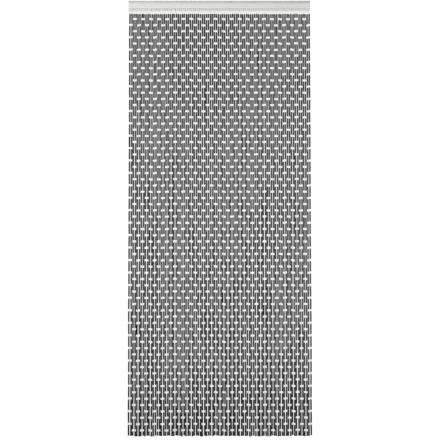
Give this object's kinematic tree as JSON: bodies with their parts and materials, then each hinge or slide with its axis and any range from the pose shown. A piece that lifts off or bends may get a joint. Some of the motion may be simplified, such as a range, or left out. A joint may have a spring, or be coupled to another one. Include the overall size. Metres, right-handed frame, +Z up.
{
  "type": "tube fly curtain with rail",
  "caption": "Doorway fly curtain: strands of short black and white plastic tubes hang close together from clips in a white wall rail.",
  "frame": {"origin": "middle of the rail's flat back face, which goes against the wall or door frame", "axes": "+Z up, along the strands; +Y out of the back, into the wall; +X to the right for somebody who faces the curtain"},
  "size_m": [0.902, 0.0255, 2.1433],
  "materials": {
    "rail_white": "satin white powder coat on an extruded rail",
    "tube_black": "smooth glossy black tube",
    "tube_white": "smooth glossy white tube",
    "clip_white": "moulded white plastic",
    "cord_white": "twisted white cord"
  },
  "bodies": {
    "root": {"rail": "rail_white", "strands": "tube_black"}
  },
  "joints": []
}
